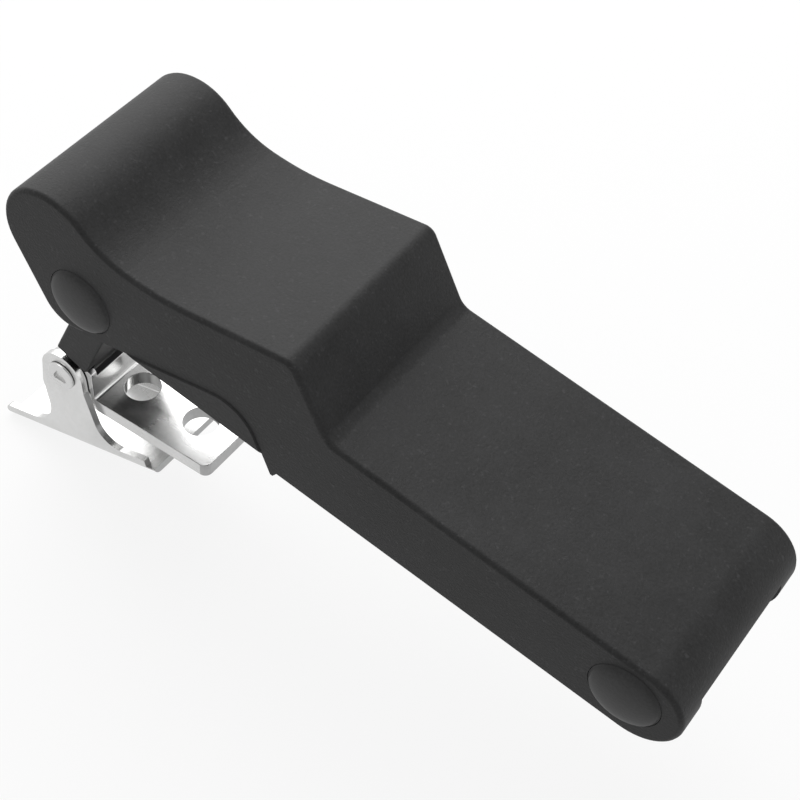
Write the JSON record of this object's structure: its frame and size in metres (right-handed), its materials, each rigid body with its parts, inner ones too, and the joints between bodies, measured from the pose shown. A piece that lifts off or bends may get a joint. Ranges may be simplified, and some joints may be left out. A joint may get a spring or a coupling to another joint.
{
  "type": "rubber t draw latch",
  "caption": "Over-centre rubber draw latch: a rubber-covered handle turns on a link above a screw-down bracket, with a folded sheet saddle on the same pivot and a cross pin in the tail",
  "frame": {"origin": "on the bracket's mounting face, midway between its two screw holes", "axes": "+X from the pivot end towards the handle's tail, +Y across the width, +Z away from the mounting face"},
  "size_m": [0.1536, 0.0406, 0.0839],
  "materials": {
    "cover_rubber": "matte moulded",
    "insert_plastic": "matte moulded",
    "cap_plastic": "satin moulded",
    "link_plastic": "matte moulded",
    "pin_steel": "turned",
    "plated_steel": "bright zinc plated",
    "staked_steel": "bright zinc plated",
    "saddle_steel": "bright zinc plated"
  },
  "bodies": {
    "base": {"base_bracket": "plated_steel", "pivot_pin": "staked_steel"},
    "link": {"link": "link_plastic"},
    "handle": {"handle_cover": "cover_rubber", "grip_insert": "insert_plastic", "grip_pin": "pin_steel", "grip_pin_cap_front": "cap_plastic", "grip_pin_cap_rear": "cap_plastic", "tail_pin": "pin_steel", "tail_pin_cap_front": "cap_plastic", "tail_pin_cap_rear": "cap_plastic"},
    "saddle": {"saddle": "saddle_steel"}
  },
  "joints": [
    {"name": "link_swing", "type": "hinge", "parent": "base", "child": "link", "pos_m": [-0.0185, 0, 0.0073], "axis": [0, -1, 0], "range_deg": [0, 112.5]},
    {"name": "handle_fold", "type": "hinge", "parent": "link", "child": "handle", "pos_m": [-0.00024, 0, 0.04645], "axis": [0, 1, 0], "range_deg": [0, 102.81]},
    {"name": "saddle_swing", "type": "hinge", "parent": "base", "child": "saddle", "pos_m": [-0.0185, 0, 0.0073], "axis": [0, -1, 0], "range_deg": [-14, 12]}
  ],
  "couplings": [
    {"joint": "handle_fold", "follows": "link_swing", "ratio": 0.91378}
  ]
}
